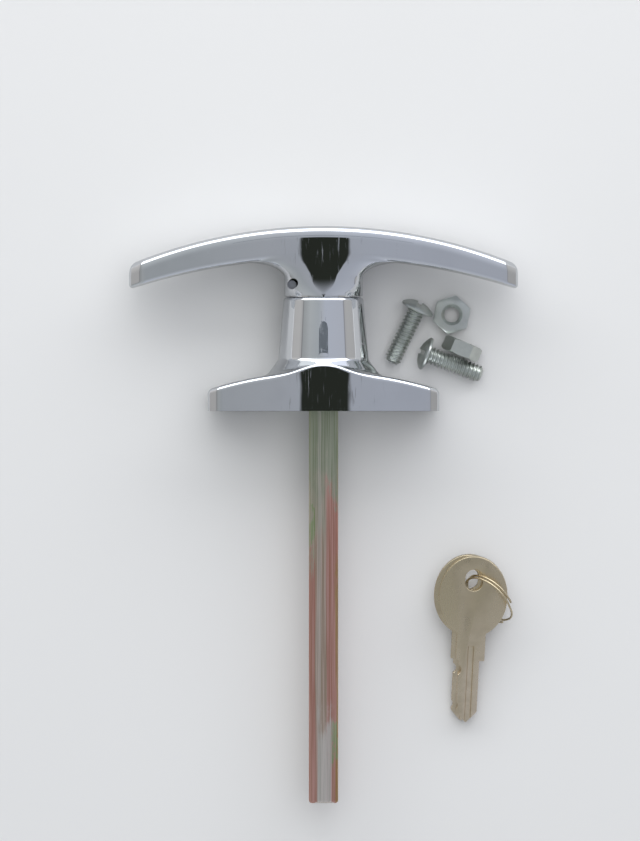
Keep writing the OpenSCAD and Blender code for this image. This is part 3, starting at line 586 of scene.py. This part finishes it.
def finish(context, bm, name, node):
    """Makes a finished piece that stands for a CAD node."""
    bmesh.ops.scale(bm, vec=(MM,) * 3, verts=bm.verts)
    mesh = bpy.data.meshes.new(name)
    bm.to_mesh(mesh)
    bm.free()
    mesh.shade_smooth()
    mesh.set_sharp_from_angle(angle=SMOOTH_ANGLE)
    piece = bpy.data.objects.new(name, mesh)
    context.scene.collection.objects.link(piece)
    slot = slot_of(node)
    mesh.materials.append(material_for(slot, context.scene.t_handle_lock.finishes))
    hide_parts(node)
    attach(piece, body_of(node))
    return piece


# Pieces

class BuildHandle(bpy.types.Operator):
    """Build the cast handle: the arched bar that flows into its neck, and the drilled shank"""
    bl_idname = "t_handle.handle"
    bl_label = "Handle"

    def execute(self, context):
        s = millimetres(context.scene.t_handle_lock.handle)
        half = s.bar_span / 2
        crown = -s.bar_reach
        side_r = arc_radius(half, (s.bar_width - s.bar_tip_width) / 2)
        seam = -s.seam_y
        flare_r = s.neck_r + s.fillet_w
        # The neck is drawn out this much too far and then cut flat at the seam
        spare = 3
        # The back edges fade out towards the neck, whose corners go from square to round
        fade_from, fade_to = 6, 15
        lead, round_corner, square_corner = 2, 2, 6
        flush_y = crown + s.bar_depth - s.back_edge
        fillet_y = crown + s.bar_depth + arc_fall(flare_r, s.back_r) + s.fillet_h

        def front_y(x):
            return crown + arc_fall(x, s.front_r)

        def back_y(x):
            return crown + s.bar_depth + arc_fall(x, s.back_r)

        def under_y(x):
            """The back of the bar with the neck's fillet."""
            reach = np.clip((flare_r - abs(x)) / s.fillet_w, 0, 1)
            return max(back_y(x), fillet_y - s.fillet_h * math.sqrt(1 - reach ** 2)) if reach else back_y(x)

        def half_width(x):
            return s.bar_width / 2 - arc_fall(x, side_r)

        def form(p):
            x, y, z = p.T
            lean = np.maximum(1 - (y - front_y(x)) / s.shoulder, 0)
            front = (front_y(x) - y) * np.sqrt(1 - (x / s.front_r) ** 2)
            back = (y - back_y(x)) * np.sqrt(1 - (x / s.back_r) ** 2)
            bar = faceted_plan(x, z, half, half_width, s.end_cut) + s.shoulder_drop * lean ** 2
            fade = np.clip((np.abs(x) - fade_from) / (fade_to - fade_from), 0.02, 1)
            bar = rounded_meet(rounded_meet(bar, front, s.front_edge), back, s.back_edge * fade)
            # The neck starts flush with the sides of the bar, widens along an ellipse and ends round
            rise = np.clip((seam - y) / (seam - fillet_y + lead), 0, 1)
            flush = np.clip((seam - y) / (seam - flush_y), 0, 1)
            curl = np.clip((fillet_y - y) / s.fillet_h, 0, 1)
            wide = flare_r - s.fillet_w * np.sqrt(1 - curl ** 2)
            deep = s.neck_r + (s.bar_width / 2 - s.neck_r) * flush * (2 - flush)
            corner = round_corner + (square_corner - round_corner) * rise
            across = np.abs(z) * s.bar_width / 2 / half_width(x)
            span = ((np.abs(x) / wide) ** corner + (across / deep) ** corner) ** (1 / corner)
            neck = (span - 1) * s.neck_r
            neck = np.maximum(np.maximum(neck, y - seam - spare), crown + s.bar_depth / 2 - y)
            return np.minimum(bar, neck)

        bm = sliced_block(half, (s.bar_span, s.bar_depth, s.bar_width), s.mesh_step)
        for vert in bm.verts:
            x, t, w = vert.co
            vert.co = (x, (1 - t) * front_y(x) + t * under_y(x), w * half_width(x))
        bm.normal_update()
        draw_out(bm, 1, s.neck_r - 1, half, seam + spare, s.mesh_step)
        settle(bm, form)
        cut_away(bm, (0, seam, 0), (0, 1, 0))

        # Shank with the groove of the retaining ring
        groove_r, groove_front, groove_back = s.shank_r - 0.85, -3.3, -2.2
        shank_end, chamfer = -0.6, 0.4
        shank = turned([(0, seam - 1), (s.shank_r, seam - 1), (s.shank_r, groove_front),
                        (groove_r, groove_front), (groove_r, groove_back), (s.shank_r, groove_back),
                        (s.shank_r, shank_end - chamfer), (s.shank_r - chamfer, shank_end), (0, shank_end)])
        bm = carve(bm, "UNION", shank)

        # Stepped bore of the barrel, then room for the bolt, the spindle and both pins
        sink_r, barrel_r, plug_r, drive_r = 10.15, 8.05, 6.55, 2.5
        sink_y, mouth_y, barrel_y, plug_y, drive_y = -52, -49.9, -32.95, -27.8, -25
        bore = turned([(0, sink_y), (sink_r, sink_y), (barrel_r, mouth_y), (barrel_r, barrel_y),
                       (plug_r, barrel_y), (plug_r, plug_y), (drive_r, plug_y), (drive_r, drive_y),
                       (0, drive_y)])
        bolt_half, spindle_half = 3.05, 4.05
        slot = block((-bolt_half, -26.75, -4.7), (bolt_half, -22.25, 12))
        socket = block((-spindle_half, -20.95, -spindle_half), (spindle_half, 1, spindle_half))
        cross = drilling(CROSS_R, -12, 12, "Z", (0, CROSS_Y, 0))
        pin = drilling(1.25, -4.08, 15, "X", (*PIN_DRILLING, 0))
        mouth = drilling(1.3, 3.2, 13, "X", (*PIN_MOUTH, 0), steps=40)
        tools = carve(bore, "UNION", slot, socket, cross, pin)
        bm = carve(bm, "DIFFERENCE", tools, mouth)
        finish(context, bm, "handle_casting", "handle")
        return {"FINISHED"}


class BuildEscutcheon(bpy.types.Operator):
    """Build the cast escutcheon: the collar with its filleted foot, two arms and the cored back"""
    bl_idname = "t_handle.escutcheon"
    bl_label = "Escutcheon"

    def execute(self, context):
        s = millimetres(context.scene.t_handle_lock.escutcheon)
        half = s.plate_length / 2
        crown_r = arc_radius(half, s.crown_h - s.end_h)
        side_r = arc_radius(half, (s.plate_width - s.end_width) / 2)
        slant = (s.collar_foot_r - s.collar_top_r) / (s.collar_h - s.collar_foot_h)
        splay = (s.flare_r - s.collar_foot_r) / (s.collar_foot_h - s.flare_h)
        flare_fillet, slab_fillet = 0.25, 1
        # The front edges are sharpest under the collar and grow softer along the arms
        least_edge, edge_growth, edge_from = 0.45, 0.075, 4

        def front_h(x):
            swell = np.where(np.abs(x) < s.swell_half, 0.5 + 0.5 * np.cos(np.pi * x / s.swell_half), 0)
            return s.crown_h - arc_fall(x, crown_r) + s.swell_h * swell

        def half_width(x):
            return s.plate_width / 2 - arc_fall(x, side_r)

        def form(p):
            x, y, z = p.T
            outline = faceted_plan(x, z, half, half_width, s.end_cut)
            slab = -front_h(x) - y
            radius = np.hypot(x, z)
            cone = (radius - s.collar_top_r - slant * (y + s.collar_h)) / math.hypot(1, slant)
            flare = (radius - s.collar_foot_r - splay * (y + s.collar_foot_h)) / math.hypot(1, splay)
            foot = filleted_join(filleted_join(cone, flare, flare_fillet), slab, slab_fillet)
            edge = np.clip(least_edge + edge_growth * (np.abs(x) - edge_from), least_edge, s.edge)
            top = rounded_meet(foot, outline, edge)
            return np.maximum(rounded_meet(top, -s.collar_h - y, s.rim), y - 1)

        def is_detail(co):
            """The collar's rim, and its foot where it meets the flat sides."""
            foot = abs(co.z) > 9 and abs(co.x) < 14 and -16 < co.y < -9
            return co.y < 1.6 - s.collar_h or foot

        bm = sliced_block(half, (s.plate_length, s.crown_h, s.plate_width), s.mesh_step)
        for vert in bm.verts:
            x, t, w = vert.co
            vert.co = (x, t - (1 - t) * float(front_h(x)), w * float(half_width(x)))
        bm.normal_update()
        patch_half = 9.4
        draw_out(bm, -1, patch_half, patch_half, -s.collar_h, s.mesh_step)
        settle(bm, form)
        fine = [e for e in bm.edges if all(is_detail(v.co) for v in e.verts)]
        bmesh.ops.subdivide_edges(bm, edges=fine, cuts=1, use_grid_fill=True)
        settle(bm, form, 4)
        cut_away(bm, (0, 0, 0), (0, 1, 0))

        # Recess for the washers, and in each arm a core round the boss of a fixing hole
        recess_r, recess_depth = 11, 6.5
        core_from, core_to, core_depth, wall, spans = 13.2, 28.9, 3.6, 2.2, 8
        boss_r, spot_r, spot_depth, behind = 5.15, 4.9, 0.2, 1
        tools = [rod(recess_r, -recess_depth, 1.5)]
        for side in (-1, 1):
            x = side * s.fixing_x
            core = bmesh.new()
            rows = [side * (core_from + (core_to - core_from) * i / spans) for i in range(spans + 1)]
            rim = [core.verts.new((row, behind, float(half_width(row)) - wall)) for row in rows]
            rim += [core.verts.new((row, behind, wall - float(half_width(row)))) for row in reversed(rows)]
            face = core.faces.new(rim)
            deep = bmesh.ops.extrude_face_region(core, geom=[face])["geom"]
            floor = [g for g in deep if isinstance(g, bmesh.types.BMVert)]
            bmesh.ops.translate(core, vec=(0, -core_depth - behind, 0), verts=floor)
            bmesh.ops.recalc_face_normals(core, faces=core.faces)
            at_hole = Matrix.Translation((x, 0, 0))
            core = carve(core, "DIFFERENCE", placed(rod(boss_r, -6, 3, steps=64), at_hole))
            seat = -float(front_h(s.fixing_x + spot_r)) + spot_depth
            hole = turned([(0, -20), (spot_r, -20), (spot_r, seat), (s.fixing_r, seat), (s.fixing_r, 2.5),
                           (0, 2.5)], 64)
            tools += [core, placed(hole, at_hole)]

        # Four notches for the bolt in the wall of the collar's bore
        bore_r, notch_r, notch_half, notch_reach = 8.5, 10.4, 3.3, 9.95
        notch_front, notch_back = -27, -22
        notches = block((-notch_half, notch_front, -notch_reach), (notch_half, notch_back, notch_reach))
        crossing = block((-notch_reach, notch_front, -notch_half), (notch_reach, notch_back, notch_half))
        notches = carve(notches, "UNION", crossing)
        notches = carve(notches, "INTERSECT", rod(notch_r, -30, -20))
        bm = carve(bm, "DIFFERENCE", rod(bore_r, -35, 4), notches, *tools)
        finish(context, bm, "escutcheon_casting", "escutcheon")
        return {"FINISHED"}


class BuildLock(bpy.types.Operator):
    """Build the lock in the bar: barrel, plug, wafers with their springs, clip, bolt and barrel pin"""
    bl_idname = "t_handle.lock"
    bl_label = "Lock"

    def execute(self, context):
        for node in ("lock_barrel", "lock_plug", "plug_clip", "locking_bolt"):
            finish(context, node_copy(node), f"{node}_finished", node)
        # The outer end of the pin is sheared a little out of square
        shear, trim = 0.065, 0.12
        pin = node_copy("barrel_pin")
        low, high = (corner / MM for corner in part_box("barrel_pin"))
        end = (low + high) / 2
        end.z = high.z - trim
        cut_away(pin, end, (-shear, -shear, 1))
        finish(context, pin, "barrel_pin_finished", "barrel_pin")
        for number in range(1, 6):
            for node in (f"wafer_{number}", f"wafer_spring_{number}"):
                finish(context, node_copy(node), f"{node}_finished", node)
        return {"FINISHED"}


class BuildShankParts(bpy.types.Operator):
    """Build the spindle pin, the washers and the ring that keep the handle in the escutcheon"""
    bl_idname = "t_handle.shank_parts"
    bl_label = "Shank parts"

    def execute(self, context):
        for node in ("spindle_pin", "thrust_washer", "wave_washer", "retaining_ring"):
            finish(context, node_copy(node), f"{node}_finished", node)
        return {"FINISHED"}


class BuildSpindle(bpy.types.Operator):
    """Build the square spindle with its drawn, rounded edges"""
    bl_idname = "t_handle.spindle"
    bl_label = "Spindle"

    def execute(self, context):
        long_round, end_round = 0.7, 0.8
        low, high = (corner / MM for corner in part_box("spindle"))
        bm = block(low, high)
        long_edges = [e for e in bm.edges if abs(e.verts[0].co.y - e.verts[1].co.y) > 1]
        bmesh.ops.bevel(bm, geom=long_edges, offset=long_round, offset_type="OFFSET", segments=5, profile=0.5,
                        affect="EDGES", material=-1)
        ends = [e for e in bm.edges if min(v.co.y for v in e.verts) > high.y - 1e-3]
        bmesh.ops.bevel(bm, geom=ends, offset=end_round, offset_type="OFFSET", segments=3, profile=0.5,
                        affect="EDGES", material=-1)
        bm = carve(bm, "DIFFERENCE", drilling(CROSS_R, -8, 8, "Z", (0, CROSS_Y, 0)))
        finish(context, bm, "spindle_bar", "spindle")
        return {"FINISHED"}


def key_frame():
    """Place of the keys: the hole of the upper key is at the origin of this frame."""
    tilt, turn = math.radians(9), math.radians(-2.8)
    hole_x, hole_y, blade_reach, stack_h = -41.2, 46, 39.8, 2.1
    hole_z = FLOOR_Z + blade_reach * math.sin(tilt) + stack_h * math.cos(tilt)
    return (Matrix.Translation((hole_x, hole_y, hole_z)) @ Matrix.Rotation(-tilt, 4, "X")
            @ Matrix.Rotation(turn, 4, "Z"))


class BuildKeys(bpy.types.Operator):
    """Build the two keys and the split ring that they hang on"""
    bl_idname = "t_handle.keys"
    bl_label = "Keys"

    def execute(self, context):
        s = millimetres(context.scene.t_handle_lock.loose)
        for node in ("key_1", "key_2"):
            bm = soften(node_copy(node), offset=0.3, angle=40, segments=3)
            finish(context, bm, f"{node}_finished", node)

        # One flat turn, a short step, and most of a second turn
        bm = bmesh.new()
        wire = bmesh.ops.create_circle(bm, segments=14, radius=s.ring_wire / 2, cap_ends=False)["verts"]
        placed(bm, Matrix.Translation((s.ring_r, 0, 0)) @ Matrix.Rotation(math.pi / 2, 4, "X"))
        last = wire + list(bm.edges)
        for degrees, rise, steps in ((300, 0, 80), (55, s.ring_pitch, 16), (290, 0, 78)):
            last = bmesh.ops.spin(bm, geom=last, cent=(0, 0, 0), axis=(0, 0, 1), dvec=(0, 0, rise / steps),
                                  angle=math.radians(degrees), steps=steps)["geom_last"]
        rims = [e for e in bm.edges if e.is_boundary]
        bmesh.ops.holes_fill(bm, edges=rims)
        bmesh.ops.recalc_face_normals(bm, faces=bm.faces)
        heading, lean, start = (math.radians(degrees) for degrees in (44, 54, 150))
        placed(bm, key_frame() @ Matrix.Translation((1, -0.3, 0)) @ Matrix.Rotation(heading, 4, "Z")
               @ Matrix.Rotation(lean, 4, "Y") @ Matrix.Translation((0, s.ring_r, -s.ring_pitch / 2))
               @ Matrix.Rotation(start, 4, "Z"))
        finish(context, bm, "key_ring_wire", "key_ring")
        return {"FINISHED"}


def thread(root_r, crest_r, pitch, start, end):
    """A threaded rod along Z with flat ends."""
    steps = 36
    bm = bmesh.new()
    profile = ((root_r, 0), (root_r, 0.12), (crest_r, 0.44), (crest_r, 0.56), (root_r, 0.88), (root_r, 1))
    turns = math.ceil((end - start) / pitch) + 2
    verts = [bm.verts.new((r, 0, start - pitch + part * pitch)) for r, part in profile]
    edges = [bm.edges.new(pair) for pair in zip(verts, verts[1:])]
    bmesh.ops.spin(bm, geom=verts + edges, cent=(0, 0, 0), axis=(0, 0, 1), dvec=(0, 0, pitch / steps),
                   angle=math.tau * turns, steps=steps * turns)
    bmesh.ops.remove_doubles(bm, verts=bm.verts, dist=1e-3)
    for z, normal in ((start, (0, 0, -1)), (end, (0, 0, 1))):
        cut_away(bm, (0, 0, z), normal)
    return bm


class BuildFixings(bpy.types.Operator):
    """Build the two slotted screws and the two hexagon nuts, with their threads"""
    bl_idname = "t_handle.fixings"
    bl_label = "Fixings"

    def screw(self, s):
        """Screw along Z with the underside of its head at the origin."""
        rim, slot_depth, edge = 0.25 * s.head_h, 0.45 * s.head_h, 0.12
        thread_depth, point, clear = 0.56, 0.75, 9
        crown_r = arc_radius(s.head_r, s.head_h - rim)
        dome = [(s.head_r * i / 12, -s.head_h + arc_fall(s.head_r * i / 12, crown_r)) for i in range(13)]
        head = turned(dome + [(s.head_r, -edge), (s.head_r - edge, 0), (0, 0)], 64)
        placed(head, Matrix.Rotation(math.pi / 2, 4, "X"))
        slot = block((-clear, -s.slot_w / 2, -clear), (clear, s.slot_w / 2, slot_depth - s.head_h))
        head = carve(head, "DIFFERENCE", slot)
        shank = thread(s.screw_r - thread_depth, s.screw_r, s.pitch, -0.4, s.screw_length)
        for vert in shank.verts:
            radius = math.hypot(vert.co.x, vert.co.y)
            most = s.screw_r - point + (s.screw_length - vert.co.z)
            if radius > most:
                vert.co.x *= most / radius
                vert.co.y *= most / radius
        return carve(head, "UNION", shank)

    def nut(self, s):
        """Nut standing on Z = 0 with its corners bevelled and its hole tapped."""
        corner_r = s.nut_flats / 2 / math.cos(math.pi / 6)
        inner_r, outer_r, bevel_h = corner_r - 0.75, corner_r + 0.6, 0.78
        bm = bmesh.new()
        bmesh.ops.create_cone(bm, segments=6, radius1=corner_r, radius2=corner_r, depth=s.nut_h, cap_ends=True)
        placed(bm, Matrix.Translation((0, 0, s.nut_h / 2)) @ Matrix.Rotation(math.pi / 6, 4, "Z"))
        bevel = turned([(0, 0), (inner_r, 0), (outer_r, bevel_h), (outer_r, s.nut_h - bevel_h),
                        (inner_r, s.nut_h), (0, s.nut_h)])
        bm = carve(bm, "INTERSECT", placed(bevel, Matrix.Rotation(math.pi / 2, 4, "X")))
        tap = thread(s.screw_r - 0.32, s.screw_r + 0.05, s.pitch, -1, s.nut_h + 1)
        sinks = []
        for end_z, turn in ((0, math.pi / 2), (s.nut_h, -math.pi / 2)):
            sink = turned([(0, -1), (s.nut_sink_r + 1, -1), (s.nut_sink_r - 1, 1), (0, 1)], 64)
            sinks.append(placed(sink, Matrix.Translation((0, 0, end_z)) @ Matrix.Rotation(turn, 4, "X")))
        return carve(bm, "DIFFERENCE", *sinks, tap)

    def execute(self, context):
        s = millimetres(context.scene.t_handle_lock.loose)
        lean = math.atan((s.head_r - s.screw_r) / s.screw_length)
        screw_z = FLOOR_Z + s.head_r * math.cos(lean) + 0.05
        for number, x, y, heading in ((1, -25.6, -27.8, 64), (2, -28.4, -15.6, 159)):
            place = (Matrix.Translation((x, y, screw_z)) @ Matrix.Rotation(math.radians(heading), 4, "Z")
                     @ Matrix.Rotation(math.pi / 2 + lean, 4, "Y"))
            finish(context, placed(self.screw(s), place), f"screw_{number}_threaded", f"screw_{number}")
        flat_at, standing_at = (-35.2, -26.4), (-37.9, -17.1)
        flat = Matrix.Translation((*flat_at, FLOOR_Z)) @ Matrix.Rotation(math.radians(18), 4, "Z")
        finish(context, placed(self.nut(s), flat), "nut_1_tapped", "nut_1")
        standing = (Matrix.Translation((*standing_at, FLOOR_Z + s.nut_flats / 2))
                    @ Matrix.Rotation(math.radians(247), 4, "Z") @ Matrix.Rotation(math.pi / 2, 4, "Y")
                    @ Matrix.Translation((0, 0, -s.nut_h / 2)) @ Matrix.Rotation(math.radians(30), 4, "Z"))
        finish(context, placed(self.nut(s), standing), "nut_2_tapped", "nut_2")
        return {"FINISHED"}


# Stage and panel

class BuildStage(bpy.types.Operator):
    """Set up the pale floor, the soft light and the camera"""
    bl_idname = "t_handle.stage"
    bl_label = "Stage"

    def execute(self, context):
        settings = context.scene.t_handle_lock.stage
        s = millimetres(settings)
        scene = context.scene
        scene.view_settings.view_transform = "Standard"

        bm = bmesh.new()
        bmesh.ops.create_grid(bm, x_segments=1, y_segments=1, size=s.floor_size / 2)
        bmesh.ops.translate(bm, vec=(0, 0, FLOOR_Z - 0.02), verts=bm.verts)
        self.stand(scene, bm, "floor", tuple(settings.floor), 0.7)

        # A strip over the lock and a card on the floor, both seen in reflections alone
        strip = block((-129, -137.4, 611), (129, -128, 613))
        card = block((-400, -400, FLOOR_Z - 0.015), (400, 400, FLOOR_Z - 0.01))
        for bm, name in ((strip, "collar_card"), (card, "floor_card")):
            item = self.stand(scene, bm, name, tuple(getattr(settings, name)), 0.9)
            item.visible_camera = item.visible_diffuse = item.visible_shadow = False

        world = bpy.data.worlds.new("soft_box")
        world.use_nodes = True
        world.node_tree.nodes.clear()
        shade = Value(world.node_tree)
        place = shade.node("ShaderNodeTexCoord")
        across, along, _ = shade.axes(place)
        sides = shade.node("ShaderNodeValToRGB", {"stops": [
            (0.0, (0.38, 0.375, 0.37)), (0.04, (0.38, 0.375, 0.37)), (0.07, (0.35, 0.345, 0.345)),
            (0.08, (0.38, 0.395, 0.44)), (0.45, (0.38, 0.40, 0.45)), (0.55, (0.36, 0.375, 0.40)),
            (0.62, (0.33, 0.35, 0.365)), (0.8, (0.36, 0.375, 0.38)), (0.92, (0.29, 0.30, 0.30)),
            (0.93, (0.35, 0.345, 0.34)), (0.96, (0.42, 0.41, 0.40)), (1.0, (0.42, 0.41, 0.40))]},
            {"Fac": 0.5 + 0.5 * across})
        line = shade.math("ABSOLUTE", shade.math("ABSOLUTE", across) - 0.85)
        sides = shade.blend(0.45 - 0.45 * line.squeeze(0.006, 0.022), sides, tuple(settings.edge_line))
        # Dark patch that the flat sides mirror, as they would a camera
        spread = 0.025 * along.squeeze(0.12, 0.26)
        dark = 1 - (shade.math("ABSOLUTE", across + 0.003) - spread).squeeze(0.037, 0.044)
        dark = dark * along.squeeze(-0.07, -0.06) * (1 - along.squeeze(0.15, 0.28))
        sides = shade.blend(dark, sides, tuple(settings.camera_patch))
        levels = ((0.0, 1.3), (0.4, 1.05), (0.5, 1), (0.55, 1.12), (0.6, 1.27), (0.7, 1.55), (0.8, 1.9),
                  (1.0, 2.7))
        most = max(level for _, level in levels)
        stops = [(stop, (level / most,) * 3) for stop, level in levels]
        glow = shade.node("ShaderNodeValToRGB", {"stops": stops}, {"Fac": 0.5 - 0.5 * along})
        back = shade.node("ShaderNodeBackground", None, {"Color": sides, "Strength": most * glow})
        out = world.node_tree.nodes.new("ShaderNodeOutputWorld")
        world.node_tree.links.new(back.socket, out.inputs["Surface"])
        scene.world = world

        self.lamp(scene, "front_box", (0, -760, 520), (2600, 620), 10)
        fill = self.lamp(scene, "floor_fill", (-150, -250, 1700), (1500, 1500), 13)
        fill.visible_glossy = False

        data = bpy.data.cameras.new("camera")
        data.sensor_width = 36
        data.lens = data.sensor_width * s.camera_height / s.frame_height
        data.clip_end = 20
        camera = bpy.data.objects.new("camera", data)
        camera.location = Vector((s.view_x, s.view_y, s.camera_height)) * MM
        camera.rotation_euler = (0, 0, math.pi)
        scene.collection.objects.link(camera)
        scene.camera = camera
        return {"FINISHED"}

    def stand(self, scene, bm, name, rgb, rough):
        """A plain part of the stage."""
        bmesh.ops.scale(bm, vec=(MM,) * 3, verts=bm.verts)
        mesh = bpy.data.meshes.new(name)
        bm.to_mesh(mesh)
        bm.free()
        item = bpy.data.objects.new(name, mesh)
        scene.collection.objects.link(item)

        def look(shade, place):
            cloud = shade.noise(place, 6, 2)
            return {"Metallic": 0.0, "Roughness": rough,
                    "Base Color": shade.blend(cloud, tinted(rgb, 0.98), tinted(rgb, 1.02))}
        mesh.materials.append(metal(name, look))
        return item

    def lamp(self, scene, name, place, size, power):
        """A soft box turned to the lock."""
        data = bpy.data.lights.new(name, "AREA")
        data.shape = "RECTANGLE"
        data.size, data.size_y = (side * MM for side in size)
        data.energy = power
        light = bpy.data.objects.new(name, data)
        light.location = Vector(place) * MM
        light.rotation_euler = (-light.location).to_track_quat("-Z", "Y").to_euler()
        scene.collection.objects.link(light)
        return light


class LockPanel(bpy.types.Panel):
    """Lists the pieces of the lock"""
    bl_idname = "VIEW3D_PT_t_handle_lock"
    bl_label = "T-handle lock"
    bl_space_type = "VIEW_3D"
    bl_region_type = "UI"
    bl_category = "T-handle lock"

    def draw(self, context):
        for step in STEPS:
            self.layout.operator(step.bl_idname)


STEPS = (BuildStage, BuildHandle, BuildEscutcheon, BuildLock, BuildShankParts, BuildSpindle, BuildKeys,
         BuildFixings)
CLASSES = (HandleSizes, EscutcheonSizes, LooseSizes, Finishes, StageSettings, LockSettings, *STEPS, LockPanel)


def register():
    for cls in CLASSES:
        bpy.utils.register_class(cls)
    bpy.types.Scene.t_handle_lock = PointerProperty(type=LockSettings)


def unregister():
    del bpy.types.Scene.t_handle_lock
    for cls in reversed(CLASSES):
        bpy.utils.unregister_class(cls)


def main():
    register()
    for step in STEPS:
        group, name = step.bl_idname.split(".")
        getattr(getattr(bpy.ops, group), name)()


if __name__ == "__main__":
    main()
